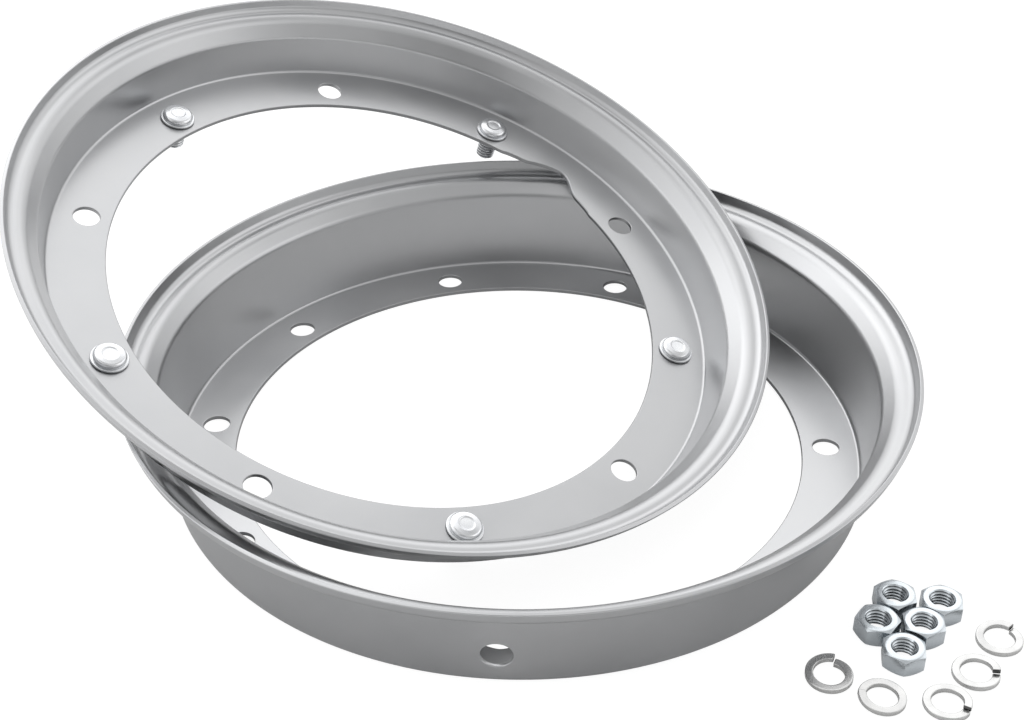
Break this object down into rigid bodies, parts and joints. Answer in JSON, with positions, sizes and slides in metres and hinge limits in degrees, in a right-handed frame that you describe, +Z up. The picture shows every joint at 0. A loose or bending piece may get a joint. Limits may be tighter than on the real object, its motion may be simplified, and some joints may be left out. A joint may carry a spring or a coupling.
{
  "type": "motor scooter wheel",
  "caption": "Split pressed steel scooter wheel rim taken apart: a shallow half with studs leans over the deep half, with hexagon nuts and spring washers beside it.",
  "frame": {"origin": "centre of the wide half's central opening, on the plane of its plate's underside, which is the floor", "axes": "+Z up along the wide half's axis; +Y away from the camera of the picture, +X to its right"},
  "size_m": [0.3367, 0.3091, 0.1135],
  "materials": {
    "rim_paint": "satin silver-grey paint",
    "stud_zinc": "bright zinc",
    "nut_zinc": "bright zinc with a blue tint",
    "washer_steel": "plain bright steel"
  },
  "bodies": {
    "root": {"wide_rim_half": "rim_paint", "narrow_rim_half": "rim_paint", "stud_1": "stud_zinc", "stud_2": "stud_zinc", "stud_3": "stud_zinc", "stud_4": "stud_zinc", "stud_5": "stud_zinc", "nut_1": "nut_zinc", "nut_2": "nut_zinc", "nut_3": "nut_zinc", "nut_4": "nut_zinc", "nut_5": "nut_zinc", "spring_washer_1": "washer_steel", "spring_washer_2": "washer_steel", "spring_washer_3": "washer_steel", "spring_washer_4": "washer_steel", "spring_washer_5": "washer_steel"}
  },
  "joints": []
}
